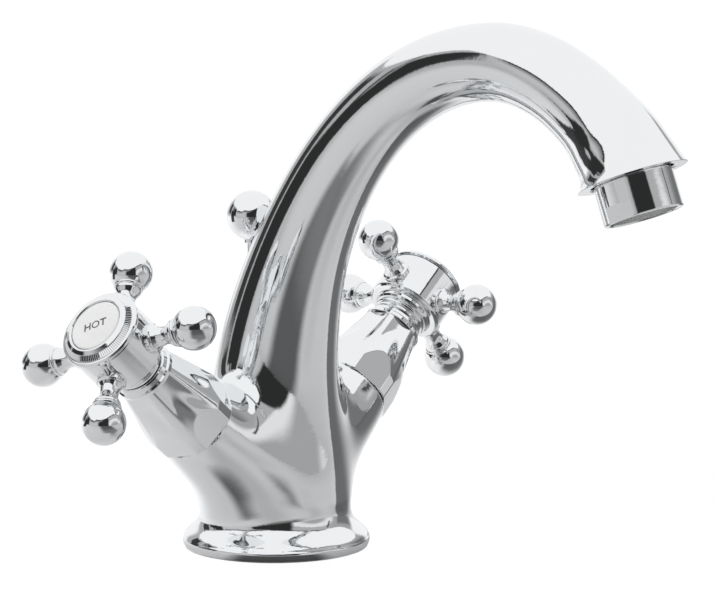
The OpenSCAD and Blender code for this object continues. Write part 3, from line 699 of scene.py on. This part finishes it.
class TAP_OT_body(bpy.types.Operator):
    """Make the one-piece cast body: foot, column, swan neck and both valve arms in one flowing skin"""
    bl_idname = "tap.body"
    bl_label = "Cast body"

    # the swept neck and the remeshed lower part meet this far along the centre line
    SEAM = 64.0
    NECK_SIDES = 168
    VOXEL = 0.62

    def execute(self, context):
        size = sizes()
        casting = Casting(size)
        lower = self.lower_part(casting)
        end = casting.end_s
        stations = np.r_[self.SEAM + 0.8, np.arange(self.SEAM + 2, end - 12, 1.7),
                         np.linspace(end - 11.5, end - 0.3, 16)]
        upper = swept("neck", casting, stations, self.NECK_SIDES, closed=False)
        self.settle(upper, casting, 0)
        self.open_mouth(upper, size)
        body = joined([lower, upper])
        seam, ahead = self.seam_plane(casting)
        edit(body, "EDGE")
        select_end(body, lambda co: abs((co - seam).dot(ahead)) < 1.5)
        bpy.ops.mesh.bridge_edge_loops()
        face_outwards()
        moved(body, Matrix.Scale(MM, 4))
        self.hollow_foot(body)
        self.shade(body, casting)
        finish_piece(body, polished_chrome(), "fixed_body", "chrome", "body_casting")
        return {"FINISHED"}

    def seam_plane(self, casting):
        i = int(self.SEAM / casting.STEP)
        return Vector((0, *casting.path[i])), Vector((0, *casting.tangent[i]))

    def lower_part(self, casting):
        """Foot, column and arms melted together, settled on the casting's surface and cut off flat."""
        neck = swept("body", casting, np.linspace(10, self.SEAM + 8, 12), 48)
        foot = turned("foot", [(0, -3), (25.5, -3), (27.2, 1), (27.2, 3.5), (24.5, 6.2), (22.0, 9.5),
                               (20.9, 14), (20.4, 22), (0, 22)], 64)
        parts = [neck, foot]
        for side in (HOT, COLD):
            arm = turned("arm", [(0, 6), (15.5, 6), (15.0, 14), (14.2, 24), (13.2, 36), (12.4, 44.4),
                                 (0, 44.6)], 48)
            parts.append(moved(arm, Matrix.Scale(1 / MM, 4) @ valve_matrix(side)))
        body = joined(parts)
        apply_modifier(body, "REMESH", mode="VOXEL", voxel_size=self.VOXEL)
        self.settle(body, casting, 2)
        edit(body)
        seam, ahead = self.seam_plane(casting)
        bpy.ops.mesh.select_all(action="SELECT")
        bpy.ops.mesh.bisect(plane_co=(0, 0, 0), plane_no=(0, 0, -1), use_fill=True, clear_outer=True,
                            threshold=0.001)
        bpy.ops.mesh.select_all(action="SELECT")
        bpy.ops.mesh.bisect(plane_co=seam, plane_no=ahead, clear_outer=True, threshold=0.001)
        bpy.ops.mesh.remove_doubles(threshold=0.12)
        return done()

    @staticmethod
    def open_mouth(neck, size):
        """Carries the last ring round the rim's thin edge and into the bore."""
        way = Vector((0, -math.sin(size.outlet_tilt), -math.cos(size.outlet_tilt)))
        mouth = Vector((0, *Casting.OUTLET))
        rim = size.outlet_radius / MM
        edit(neck, "EDGE")
        select_end(neck, lambda co: (co - mouth).length < 30)
        mesh = bmesh.from_edit_mesh(neck.data)
        ring = [vert for vert in mesh.verts if vert.select]
        middle = sum((vert.co for vert in ring), Vector()) / len(ring)
        radius = (ring[0].co - middle).length
        for r, depth in ((rim, -0.22), (rim + 0.02, -0.1), (rim - 0.06, -0.02), (rim - 0.2, 0.0),
                         (12.2, 0.0), (11.75, -0.15), (11.6, -0.5), (11.6, -8.0), (0.02, -8.0)):
            to = mouth + depth * way
            bpy.ops.mesh.extrude_region_move(TRANSFORM_OT_translate={"value": to - middle})
            middle = to
            scale_ring(r / radius, to)
            radius = r
        bpy.ops.mesh.merge(type="CENTER")
        done()

    @staticmethod
    def settle(body, casting, smoothing):
        """Smooths the mesh a few times over, and puts its points back on the surface each time."""
        for i in range(smoothing + 1):
            p = points(body.data)
            above = p[:, 2] > -1
            p[above] = casting.settle(p[above], 3 if i else 5)
            put_points(body.data, p)
            if i < smoothing:
                edit(body, "VERT")
                bpy.ops.mesh.select_all(action="SELECT")
                bpy.ops.mesh.vertices_smooth(factor=0.5, repeat=2)
                done()

    @staticmethod
    def hollow_foot(body):
        """Gasket groove, recess and the sockets that open in the underside."""
        def cutter(radius, low, high, x=0.0, y=0.0, inner=None, sides=96):
            outline = [(0, low), (radius, low), (radius, high), (0, high)]
            if inner:
                outline = [(inner, low), (radius, low), (radius, high), (inner, high), (inner, low)]
            piece = turned("cutter", outline, sides)
            return moved(piece, Matrix.Translation((x * MM, y * MM, 0)) @ Matrix.Scale(MM, 4))
        carve(body, cutter(24.6, -1, 2.4, inner=19.1))
        carve(body, cutter(17.5, -1, 2.0))
        carve(body, cutter(4.05, 1, 12, 0, -9, sides=48))
        carve(body, cutter(3.25, 1, 9, 0, 9, sides=48))
        for x in (-7.6, 7.6):
            carve(body, cutter(4.5, 1, 11, x, 5, sides=48))

    @staticmethod
    def shade(body, casting):
        """Normals from the surface itself, with the cut faces kept flat."""
        mesh = body.data
        p = points(mesh) / MM
        near = casting.nearest(p)
        g = casting.gradient(p, near)
        off = np.abs(casting.value(p, near))
        g /= np.linalg.norm(g, axis=1)[:, None] + 1e-12
        corner = np.empty(len(mesh.loops), np.int32)
        mesh.loops.foreach_get("vertex_index", corner)
        face_n = np.empty(len(mesh.polygons) * 3)
        mesh.polygons.foreach_get("normal", face_n)
        face_n = face_n.reshape(-1, 3)
        count = np.empty(len(mesh.polygons), np.int32)
        mesh.polygons.foreach_get("loop_total", count)
        owner = np.repeat(np.arange(len(mesh.polygons)), count)
        mine, surface = face_n[owner], g[corner]
        flat = ((mine * surface).sum(1) < 0.85) | (off[corner] > 0.05)
        normals = np.where(flat[:, None], mine, surface)
        mesh.polygons.foreach_set("use_smooth", np.ones(len(mesh.polygons), bool))
        mesh.normals_split_custom_set(normals.tolist())
        mesh.update()


# ---------------------------------------------------------------- bonnets

class TAP_OT_bonnets(bpy.types.Operator):
    """Make the two fluted bonnets with their hexagon feet"""
    bl_idname = "tap.bonnets"
    bl_label = "Bonnets"

    LOW, TOP = 44.7, 73.5
    SIDES = 384
    FLATS = 24.2
    EDGE, RIDGE = 0.12, 0.45
    CORNER_R = 13.1
    CONE_LOW, CONE_LOW_R, CONE_TOP_R = 49.5, 13.45, 8.92
    CONE_SLOPE = 0.22
    FLUTE_R = 26.0
    FLUTE_FLOOR, FLUTE_SLOPE = 7.95, 0.2035
    FLUTE_HIGH, RUN_OUT = 70.1, 10.0

    def execute(self, context):
        turns = {HOT: sizes().hot_bonnet_turn, COLD: sizes().cold_bonnet_turn}
        fit_pair(self.model(), "bonnet", polished_chrome("bonnet_chrome"), FIXED_BODY, turns)
        return {"FINISHED"}

    def model(self):
        """Turned blank, on which the hexagon and the six hollow flanks are then milled."""
        low, top, high = self.LOW, self.TOP, self.FLUTE_HIGH
        rows = np.r_[np.arange(low + 0.5, self.CONE_LOW, 0.8), np.arange(self.CONE_LOW + 0.1, 61, 0.27),
                     np.arange(61.5, high - 0.2, 0.9)]
        foot = [(0, low), (9.0, low), (13.0, low), (13.3, low + 0.1), (13.42, low + 0.25)]
        flank = [(self.cone(s), float(s)) for s in rows]
        edge = self.cone(high)
        collar = rounded([
            (edge, high + 0.05), (9.1, high + 0.15, 0.08), (9.1, top - 2.1, 0.25), (8.5, top - 1.6, 0.2),
            (8.2, top - 0.4, 0.3), (7.8, top, 0.2), (7.0, top, 0.1), (6.8, top - 1.2), (5.3, top - 1.4),
            (5.3, low + 8), (0, low + 8)])
        bonnet = turned("bonnet", foot + flank + [(edge, high - 0.06), (edge, high + 0.02)] + collar[1:],
                        self.SIDES)
        self.mill(bonnet)
        return smooth(bonnet, 26)

    def cone(self, s):
        return float(np.interp(s, [self.CONE_LOW, self.FLUTE_HIGH], [self.CONE_LOW_R, self.CONE_TOP_R]))

    def mill(self, bonnet):
        """Moves the blank's skin inwards to the flats, cut corners and hollow flanks, with soft ridges."""
        p = points(bonnet.data)
        r, s = np.hypot(p[:, 0], p[:, 1]), p[:, 2]
        turn = np.arctan2(p[:, 1], p[:, 0])
        sixth = math.pi / 3
        off = turn - np.round(turn / sixth) * sixth
        corner = np.abs(off) - sixth / 2
        prism = Casting.soft_min(self.FLATS / 2 / np.cos(off), self.CORNER_R / np.cos(corner), self.EDGE)
        middle = self.FLUTE_FLOOR + self.FLUTE_SLOPE * (70 - s) + self.FLUTE_R
        reach = self.FLUTE_R ** 2 - (middle * np.sin(off)) ** 2
        flute = np.where(reach > 0, middle * np.cos(off) - np.sqrt(np.maximum(reach, 0)), 99)
        # the hollows run out above the arched line where the cone meets the flats
        above = s - self.CONE_LOW - 0.1 - (self.CONE_LOW_R - prism) / self.CONE_SLOPE
        hollow = r - (r - Casting.soft_min(r, flute, self.RIDGE)) * ease(above / self.RUN_OUT)
        skin = Casting.soft_min(hollow, prism, self.EDGE)
        mine = (r > 7.6) & (s < self.FLUTE_HIGH)
        p[mine, :2] *= (skin / np.maximum(r, 1))[mine, None]
        put_points(bonnet.data, p)


# ---------------------------------------------------------------- cross handles

class TAP_OT_handles(bpy.types.Operator):
    """Make the two cross handles: turned barrel with a ringed neck and four balled arms"""
    bl_idname = "tap.handles"
    bl_label = "Cross handles"

    ARM_HEIGHT = 84.0
    NECK_R, BEAD_R, BEAD_AT = 3.65, 0.55, 20.1

    def execute(self, context):
        fit_pair(self.model(), "handle", polished_chrome("handle_chrome"), VALVE_BODY, cross_turns())
        return {"FINISHED"}

    def model(self):
        size = sizes()
        barrel = turned("handle", rounded([
            (0, 80), (4.7, 80), (4.7, 73.8), (7.3, 73.8, 0.2), (7.8, 74.1, 0.3), (7.85, 74.9, 0.3),
            (7.4, 75.1, 0.15), (8.2, 75.3, 0.25), (8.45, 75.8, 0.3), (8.3, 76.3, 0.25), (7.8, 76.5, 0.15),
            (8.6, 76.9, 0.3), (9.05, 77.5, 0.4), (9.2, 78.35, 0.2), (9.35, 78.55, 0.1), (10.9, 78.7, 0.5),
            (11.65, 79.4, 0.6), (11.65, 91.6, 0.2), (11.45, 91.9, 0.1), (9.65, 91.9), (9.65, 86.7),
            (0, 86.7)]), 160)
        reach, ball = size.ball_circle / MM, size.ball_radius / MM
        collar = rounded([(4.15, 8.8), (4.15, 12.55, 0.35), (3.5, 12.95, 0.6), (2.85, 14.2, 2.5),
                          (2.5, 16.1, 2.5), (2.9, 17.4, 1.5), (3.75, 18.7, 0.8), (3.85, 19.4, 0.15),
                          (self.NECK_R, self.BEAD_AT - self.BEAD_R)], 12)
        bead = [(self.NECK_R + self.BEAD_R * math.sin(math.radians(a)),
                 self.BEAD_AT - self.BEAD_R * math.cos(math.radians(a))) for a in range(15, 151, 15)]
        arm = turned("arm", [(0, 8.8)] + collar + bead + ball_outline(ball, 3.7, reach, 30), 72)
        level = Matrix.Translation((0, 0, self.ARM_HEIGHT))
        lying = Matrix.Rotation(math.pi / 2, 4, "Y")
        for k in range(4):
            turn = Matrix.Rotation(math.radians(90 * k), 4, "Z")
            carve(barrel, moved(twin(arm, "arm"), level @ turn @ lying), "UNION")
        bpy.data.objects.remove(arm)
        apply_modifier(barrel, "BEVEL", width=0.12, segments=2, limit_method="ANGLE",
                       angle_limit=math.radians(35), harden_normals=False)
        return smooth(barrel, 26)


class TAP_OT_caps(bpy.types.Operator):
    """Make the knurled caps that hold the index discs"""
    bl_idname = "tap.caps"
    bl_label = "Knurled caps"

    def execute(self, context):
        inner, outer = 9.75, 11.05
        teeth = sizes().knurl_teeth
        cap = turned("cap", rounded([
            (7.8, 94.2), (7.9, 95.2, 0.15), (8.15, 95.55, 0.2), (8.6, 95.5, 0.3), (9.62, 94.92, 0.1),
            (inner, 94.7), (outer, 93.85), (11.25, 93.6, 0.1), (11.75, 93.5, 0.3), (12.1, 93.0, 0.35),
            (12.1, 92.4, 0.3), (11.75, 92.0, 0.15), (9.5, 91.95), (9.5, 93.9), (7.8, 94.2)]), 2 * teeth)
        edit(cap, "VERT")
        mesh = bmesh.from_edit_mesh(cap.data)
        for vert in mesh.verts:
            x, y, z = vert.co
            r = math.hypot(x, y)
            place = round(math.atan2(y, x) / math.pi * teeth)
            vert.select_set(place % 2 == 0 and min(abs(r - inner), abs(r - outer)) < 0.05 and z > 93.5)
        mesh.select_flush(True)
        bmesh.update_edit_mesh(cap.data)
        bpy.ops.transform.resize(value=(0.963, 0.963, 1), center_override=(0, 0, 94.2))
        done()
        fit_pair(smooth(cap, 30), "cap", polished_chrome("cap_chrome"), VALVE_BODY, cross_turns())
        return {"FINISHED"}


class TAP_OT_index_discs(bpy.types.Operator):
    """Make the glazed index discs, each with a plain word"""
    bl_idname = "tap.index_discs"
    bl_label = "Index discs"

    WORD_TURN = math.radians(62)

    def execute(self, context):
        f = finishes()
        glaze = moulded("glazed_porcelain", f.porcelain, 0.12, grain=300.0, grain_depth=0.00002, coat=0.6)
        ink = moulded("fired_ink", f.mark, 0.35)
        disc = turned("disc", rounded([(0, 93.95), (7.75, 93.95), (7.75, 95.15, 0.2), (7.3, 95.3, 0.4),
                                       (0, 95.5)]), 128)
        smooth(disc, 30)
        for side, word in ((HOT, "HOT"), (COLD, "COLD")):
            name = SIDE_NAME[side] + "_index_disc"
            piece = twin(disc, name + "_skin")
            moved(piece, valve_matrix(side))
            finish_piece(piece, glaze, VALVE_BODY[side], "porcelain", name)
            letters = self.letters(word)
            moved(letters, valve_matrix(side) @ Matrix.Rotation(side * self.WORD_TURN, 4, "Z"))
            letters.data.materials.append(ink)
            joined([piece, letters])
        bpy.data.objects.remove(disc)
        return {"FINISHED"}

    @staticmethod
    def letters(word):
        """A plain word in flat letters, just proud of the glaze."""
        clear()
        bpy.ops.object.text_add(location=(0, 0, 95.42))
        text = bpy.context.object
        text.data.body = word
        text.data.size = 3.4
        text.data.align_x = text.data.align_y = "CENTER"
        text.data.extrude = 0.09
        text.data.resolution_u = 4
        bpy.ops.object.convert(target="MESH")
        bpy.ops.object.transform_apply(location=True)
        return bpy.context.object


# ---------------------------------------------------------------- outlet

def outlet_matrix():
    """From the outlet's own millimetres, z out of the rim, to the tap's metres."""
    return (Matrix.Translation((0, Casting.OUTLET[0] * MM, Casting.OUTLET[1] * MM))
            @ Matrix.Rotation(math.pi - sizes().outlet_tilt, 4, "X") @ Matrix.Scale(MM, 4))


class TAP_OT_outlet(bpy.types.Operator):
    """Make the outlet's housing with its spanner flats, and the insert behind it"""
    bl_idname = "tap.outlet"
    bl_label = "Outlet"

    def execute(self, context):
        f = finishes()
        housing = turned("aerator_housing_skin", rounded([
            (8.3, -6), (10.8, -6), (10.8, 0.2), (11.0, 0.25), (11.0, 10.5, 0.2), (10.7, 10.8, 0.1),
            (9.7, 10.8, 0.15), (9.5, 10.4), (9.5, 0.8), (8.3, 0.8), (8.3, -6)]), 144)
        for k in (0, 1):
            clear()
            bpy.ops.mesh.primitive_cube_add(size=1)
            block = bpy.context.object
            moved(block, Matrix.Rotation(math.pi * (k + 0.5), 4, "Z") @ Matrix.Translation((0, 12.2, 9.4))
                  @ Matrix.Diagonal((26, 4, 6, 1)))
            carve(housing, block)
        apply_modifier(housing, "BEVEL", width=0.1, segments=2, limit_method="ANGLE",
                       angle_limit=math.radians(30))
        smooth(housing, 24)
        moved(housing, outlet_matrix())
        finish_piece(housing, polished_chrome("outlet_chrome"), "fixed_body", "chrome", "aerator_housing")
        insert = turned("aerator_insert_skin", rounded([
            (0, 0.9), (9.4, 0.9), (9.4, 8.6, 0.2), (8.5, 8.6, 0.2), (8.3, 7.2), (6.5, 7.0, 0.3), (6.3, 6.4),
            (2.4, 6.4), (2.2, 7.4, 0.2), (0, 7.4)]), 96)
        for k in range(12):
            clear()
            bpy.ops.mesh.primitive_cylinder_add(vertices=6, radius=0.8, depth=6, location=(4.4, 0, 7))
            hole = bpy.context.object
            bpy.ops.object.transform_apply(location=True)
            moved(hole, Matrix.Rotation(math.radians(30 * k), 4, "Z"))
            carve(insert, hole)
        smooth(insert, 30)
        moved(insert, outlet_matrix())
        finish_piece(insert, moulded("insert_plastic", f.plastic, 0.35), "fixed_body", "plastic",
                     "aerator_insert")
        return {"FINISHED"}


# ---------------------------------------------------------------- lift rod

class TAP_OT_lift_rod(bpy.types.Operator):
    """Make the ball knob and the rod that lifts the waste"""
    bl_idname = "tap.lift_rod"
    bl_label = "Lift rod"

    ROD_Y, KNOB_CENTRE = 9.0, 97.0

    def execute(self, context):
        chrome = polished_chrome("lift_chrome")
        knob = turned("lift_knob_skin", [(0, -6), (1.7, -6), (1.75, -7.95), (2.3, -8.0), (2.5, -7.85)]
                      + ball_outline(sizes().knob_radius / MM, 2.5, 0, 40), 128)
        rod = turned("lift_rod_skin", rounded([(0, -58), (1.2, -58, 0.1), (1.5, -57.6, 0.2), (1.5, 91),
                                               (0, 91)]), 48)
        for piece, node, height in ((knob, "lift_knob", self.KNOB_CENTRE), (rod, "lift_rod", 0)):
            smooth(piece, 30)
            moved(piece, Matrix.Translation((0, self.ROD_Y * MM, height * MM)) @ Matrix.Scale(MM, 4))
            finish_piece(piece, chrome, "lift_set", "chrome", node)
        return {"FINISHED"}


# ---------------------------------------------------------------- fixings and inner pieces

class TAP_OT_fixings(bpy.types.Operator):
    """Finish the gasket, stud, washers, nut and the pieces inside the valves"""
    bl_idname = "tap.fixings"
    bl_label = "Fixings and inner pieces"

    def execute(self, context):
        f = finishes()
        looks = {
            "rubber": moulded("gasket_rubber", f.rubber, 0.75, grain=900.0, grain_depth=0.00012),
            "brass": turned_metal("turned_brass", f.brass, 0.3),
            "ceramic": moulded("valve_ceramic", f.ceramic, 0.3, grain=1500.0, grain_depth=0.00002),
            "plastic": moulded("bush_plastic", f.plastic, 0.4),
            "zinc_steel": turned_metal("zinc_steel", f.zinc, 0.35),
            "chrome": polished_chrome("inner_chrome", 1.4),
            "porcelain": moulded("inner_porcelain", f.porcelain, 0.2, grain_depth=0.00002),
        }
        slots = {part["node"]: part["material_slot"] for part in frame["record"]["subparts"]}
        for name, obj in frame["nodes"].items():
            obj.data.materials.clear()
            obj.data.materials.append(looks[slots[name]])
        return {"FINISHED"}


# ---------------------------------------------------------------- stage

class TAP_OT_stage(bpy.types.Operator):
    """Lay the pale floor, the soft light and the camera"""
    bl_idname = "tap.stage"
    bl_label = "Stage"

    FLOOR_SIZE = 6
    LAMP_AT, LAMP_SIZE = (-0.12, 0.83, 0.93), 0.42
    CAMERA_AT = (-0.6895, -0.5989, 0.1939)
    CAMERA_DIP, CAMERA_TURN = 7.59, -50.7
    PHOTO_WIDTH, SHIFT = 713, (-10.23, 1.58)

    def execute(self, context):
        scene = context.scene
        stage = scene.tap_stage
        scene.view_settings.view_transform = "Standard"
        self.floor(stage)
        self.world(scene)
        self.lamps(stage)
        self.camera(scene, stage)
        return {"FINISHED"}

    def floor(self, stage):
        """Pale floor for the camera. What the metal mirrors of it is painted shade and light, graded by bearing
        and distance.
        """
        clear()
        bpy.ops.mesh.primitive_plane_add(size=self.FLOOR_SIZE)
        floor = bpy.context.object
        floor.name = floor.data.name = "floor"
        material, g = new_material("floor_paint")
        where = g.node("ShaderNodeTexCoord", out=3)
        x, y = g.axes(where, 2)
        far = (x * x + y * y) ** 0.5 + 0.001
        round_ = g.bearing(x, y)
        away = g.edge((y * -0.74 - x * 0.67) / far, 0.2, -0.8)
        # painted shade in front of the tap, which the metal mirrors
        left = round_ + 14 * g.edge(far, 0.115, 0.145)
        painted_shade_front = g.edge(left, -62, -44) * g.edge(round_, -4, -21) * g.edge(far, 0.06, 0.12)
        depth = 0.42 + 0.1 * g.edge(far, 0.13, 0.25)
        # painted light: the floor is lighter away from the camera and close round the foot, less the painted shade
        # in front
        tone = 0.64 + 0.12 * g.edge(far, 0.10, 0.06) + 0.25 * away - depth * painted_shade_front
        # painted dark reflection, back left: a black band on the floor that the metal mirrors
        painted_dark_back_left = g.band(round_, -161, -157, -141, -137) * g.edge(far, 0.26, 0.3)
        tone = tone * (1 - 0.94 * painted_dark_back_left)
        # painted dark reflection: a dark strip on the floor that the metal mirrors, running off to the right
        # behind a straight edge
        across, along = 0.516 * x + 0.857 * y + 0.0229, 0.857 * x - 0.516 * y
        painted_dark_strip = g.edge(across, -0.003, 0.003) * g.edge(along, 0.03, 0.06) * g.edge(round_, 108, 72)
        tone = tone + (0.17 - tone) * painted_dark_strip
        # painted shadow round the front of the foot, and painted light in a line where the foot stands
        shadow = g.band(far, 0.0276, 0.0284, 0.034, 0.044) * g.band(round_, -88, -70, -24, -8)
        tone = tone * (1 - 0.82 * shadow) * (1 + 0.3 * g.edge(far, 0.0290, 0.0278))
        tone = tone * (0.99 + 0.02 * g.noise(where, 60.0))
        paint = g.node("ShaderNodeBsdfDiffuse", {}, {"Color": g.mix(tone, (0, 0, 0, 1), rgba(stage.floor))})
        glow = g.node("ShaderNodeEmission", {}, {"Color": (1, 1, 1, 1), "Strength": 1.06})
        seen = g.node("ShaderNodeLightPath", out=0)
        g.output(g.node("ShaderNodeMixShader", {}, {0: 0.93 * seen, 1: paint, 2: glow}))
        floor.data.materials.append(material)

    @staticmethod
    def world(scene):
        """Studio that the metal mirrors: white ceiling and back wall, grey sides, black panels."""
        world = bpy.data.worlds.new("studio")
        scene.world = world
        g = Graph(world)
        x, y, z = g.axes(g.node("ShaderNodeTexCoord", out=0), 3)
        up = g.math("ARCSINE", z) * math.degrees(1)
        round_ = g.bearing(x, y)

        def window(left, right, low, high, soft, lean=0.0):
            """Mask of a panel between two bearings and two heights, in degrees."""
            top = up - lean * (round_ - left)
            return (g.band(round_, left - soft, left + soft, right - soft, right + soft)
                    * g.edge(up, low - soft, low + soft) * g.edge(top, high + soft, high - soft))

        def put(room, mask, level):
            return room + (level - room) * mask

        room = 0.44 * g.edge(up, -60, 10) + 0.02
        for *sides, level in (
                (-126, -80, -30, 40, 5, 0.58),        # grey wall on the left
                (-159, -129, -20, 12, 1.5, 0.03),     # black panel, back left
                (-152, -127.5, 5, 22.5, 1.5, 0.03),   # its upper part
                (-149, -145, 13, 30, 1.2, 0.25),      # grey bar over it
                (-200, -163, 2, 24, 2, 0.045)):       # black panel at the back
            room = put(room, window(*sides), level)
        # pale arch on the right-hand wall, with the grey wall showing through it
        arch = (((round_ - 12) / 40) ** 2.0 + ((up + 3) / 29) ** 2.0) ** 0.5
        room = put(room, g.edge(arch, 1.06, 0.98) * g.edge(up, -8, 2), 0.84)
        room = put(room, g.edge(arch, 0.74, 0.38), 0.40)
        room = put(room, window(47, 100, -12, 34, 4), 0.40)
        room = put(room, g.band(round_, 55, 57, 82, 100) * g.band(up, -14, -8, 12, 22), 0.19)
        room = put(room, window(39, 42, 9, 30, 1.2), 0.06)
        # black flag by the camera, with a slanting top
        room = put(room, window(-74, -20, -14, 16, 3, lean=0.42), 0.028)
        # white ceiling, over a dark line in front and a dark fringe on the left
        edge = 27 + 17 * g.band(round_, -70, 10, 24, 62) - 7 * g.band(round_, -136, -122, -100, -84)
        height = up - edge
        room = put(room, g.edge(height, -4.0, -3.2) * g.band(round_, -66, -60, 34, 40), 0.05)
        fringe = 0.7 * g.edge(height, -12, -2) + 0.3 * g.edge(height, -3.5, -2)
        room = put(room, fringe * g.band(round_, -126, -122, -66, -58), 0.03)
        room = put(room, g.edge(height, -0.6, 0.6), 1.0)
        # white wall at the back right
        room = put(room, window(96, 166, -20, 60, 5), 1.0)
        seen = g.node("ShaderNodeLightPath", out=0)
        tone = g.mix(room, (0, 0, 0, 1), (0.985, 0.992, 1.0, 1))
        tone = g.mix(seen, tone, (1, 1, 1, 1))
        g.output(g.node("ShaderNodeBackground", {}, {"Color": tone, "Strength": 1.0}),
                 "ShaderNodeOutputWorld")

    def lamps(self, stage):
        """One soft panel above and behind the tap; the white ceiling gives the rest of the light."""
        clear()
        bpy.ops.object.light_add(type="AREA", location=self.LAMP_AT)
        lamp = bpy.context.object
        lamp.name = "rear_panel"
        lamp.rotation_euler = (-lamp.location).to_track_quat("-Z", "Y").to_euler()
        lamp.data.size = self.LAMP_SIZE
        lamp.data.energy = math.pi * self.LAMP_SIZE ** 2 * stage.rear_power
        lamp.visible_glossy = False

    def camera(self, scene, stage):
        """The photograph's camera, as solved from the round foot, the balls and the valve axes."""
        clear()
        bpy.ops.object.camera_add(location=self.CAMERA_AT, rotation=(
            math.radians(90 - self.CAMERA_DIP), 0, math.radians(self.CAMERA_TURN)))
        camera = bpy.context.object
        camera.name = "camera"
        camera.data.lens = stage.camera_lens
        camera.data.sensor_width = 36
        camera.data.shift_x, camera.data.shift_y = (shift / self.PHOTO_WIDTH for shift in self.SHIFT)
        camera.data.clip_start = 0.01
        scene.camera = camera


class TAP_PT_panel(bpy.types.Panel):
    """Sidebar list of the tap's pieces"""
    bl_idname = "TAP_PT_panel"
    bl_label = "Basin Tap"
    bl_space_type = "VIEW_3D"
    bl_region_type = "UI"
    bl_category = "Basin Tap"

    def draw(self, context):
        layout = self.layout
        scene = context.scene
        for group in (scene.tap_sizes, scene.tap_finishes, scene.tap_stage):
            box = layout.box()
            for key in group.bl_rna.properties.keys():
                if key not in {"rna_type", "name"}:
                    box.prop(group, key)
        for operator in OPERATORS:
            layout.operator(operator.bl_idname)


OPERATORS = (TAP_OT_fixings, TAP_OT_body, TAP_OT_bonnets, TAP_OT_handles, TAP_OT_caps, TAP_OT_index_discs,
             TAP_OT_outlet, TAP_OT_lift_rod, TAP_OT_stage)
GROUPS = {"tap_sizes": TapSizes, "tap_finishes": TapFinishes, "tap_stage": TapStage}


def register():
    for cls in (*GROUPS.values(), *OPERATORS, TAP_PT_panel):
        bpy.utils.register_class(cls)
    for name, group in GROUPS.items():
        setattr(bpy.types.Scene, name, PointerProperty(type=group))


def unregister():
    for name in GROUPS:
        delattr(bpy.types.Scene, name)
    for cls in reversed((*GROUPS.values(), *OPERATORS, TAP_PT_panel)):
        bpy.utils.unregister_class(cls)


def main():
    register()
    for operator in OPERATORS:
        group, name = operator.bl_idname.split(".")
        getattr(getattr(bpy.ops, group), name)()
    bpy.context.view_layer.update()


if __name__ == "__main__":
    main()
